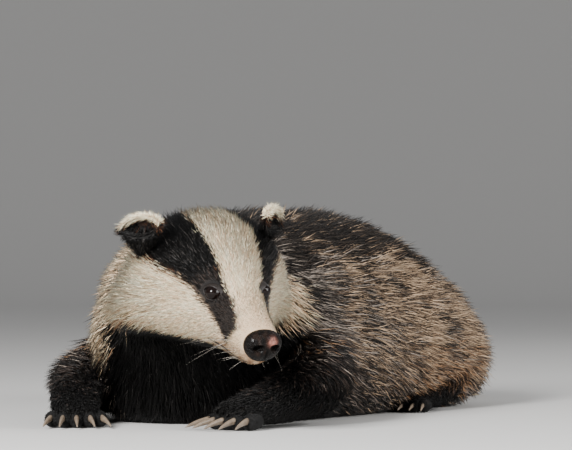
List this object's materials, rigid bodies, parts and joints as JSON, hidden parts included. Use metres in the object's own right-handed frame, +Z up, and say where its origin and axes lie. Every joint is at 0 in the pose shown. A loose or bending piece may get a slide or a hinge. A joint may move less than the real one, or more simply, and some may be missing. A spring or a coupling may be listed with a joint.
{
  "type": "european badger",
  "caption": "Life-size European badger that crouches on its belly with its head lowered and turned to its left.",
  "frame": {"origin": "on the floor, on the flat of the belly, at the middle of the trunk", "axes": "the trunk points along -Y, the animal's left is +X, +Z up"},
  "size_m": [0.2918, 0.8095, 0.195],
  "materials": {
    "white_fur": "soft cream-white fur",
    "grey_fur": "long bristly grizzled fur",
    "black_fur": "short brown-black fur",
    "nose_leather": "moist pebbled leather",
    "eye": "wet gloss"
  },
  "bodies": {
    "root": {"head": "white_fur", "neck": "grey_fur", "torso": "grey_fur", "tail": "grey_fur", "nose": "nose_leather", "ear_l": "black_fur", "ear_r": "black_fur", "eye_l": "eye", "eye_r": "eye", "foreleg_l": "black_fur", "foreleg_r": "black_fur", "hindleg_l": "black_fur", "hindleg_r": "black_fur"}
  },
  "joints": []
}
